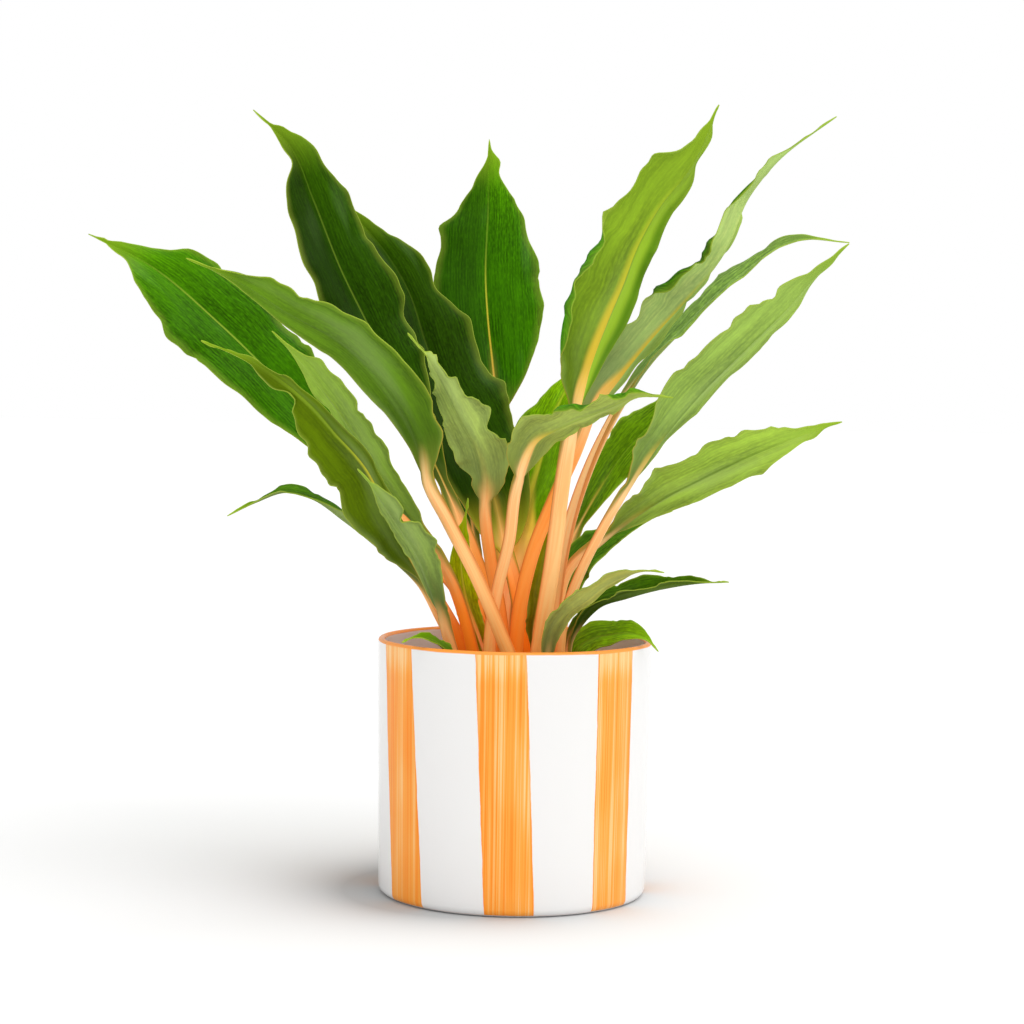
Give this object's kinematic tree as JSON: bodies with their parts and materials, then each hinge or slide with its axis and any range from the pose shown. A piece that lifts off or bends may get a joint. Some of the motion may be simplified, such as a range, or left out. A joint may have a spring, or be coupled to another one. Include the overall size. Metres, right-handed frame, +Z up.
{
  "type": "potted spider plant",
  "caption": "House plant with broad pointed green leaves on orange stalks, in a straight white ceramic pot with brushed orange stripes, filled with soil.",
  "frame": {"origin": "centre of the pot's flat foot, where it meets the surface it stands on", "axes": "+Z up from the pot's foot to the leaf tips; -Y towards the side that the picture shows; +X to the right there"},
  "size_m": [0.3905, 0.2913, 0.4053],
  "materials": {
    "glaze": "glossy white glaze with hand-brushed orange stripes and an orange lip",
    "soil": "rough dark potting soil",
    "leaf": "satin green leaf with a pale margin, its stalk and midrib peach to orange"
  },
  "bodies": {
    "root": {"pot": "glaze", "soil": "soil", "leaf_far_left": "leaf", "leaf_left_high": "leaf", "leaf_left_middle": "leaf", "leaf_left_broad": "leaf", "leaf_left_front": "leaf", "leaf_left_low": "leaf", "leaf_upper_left": "leaf", "leaf_upper_left_dark": "leaf", "leaf_centre_rear": "leaf", "leaf_front_centre": "leaf", "leaf_front_right": "leaf", "leaf_upper_right": "leaf", "leaf_right_tall": "leaf", "leaf_right_narrow": "leaf", "leaf_right_broad": "leaf", "leaf_right_bright": "leaf", "leaf_right_under": "leaf", "leaf_inner_right": "leaf", "leaf_right_dark": "leaf", "leaf_small_pale": "leaf", "leaf_small_folded": "leaf", "leaf_over_right_rim": "leaf", "leaf_over_left_rim": "leaf", "leaf_rear_centre": "leaf", "leaf_rear_left": "leaf", "leaf_rear_right": "leaf", "leaf_young_left": "leaf", "leaf_young_right": "leaf"}
  },
  "joints": []
}
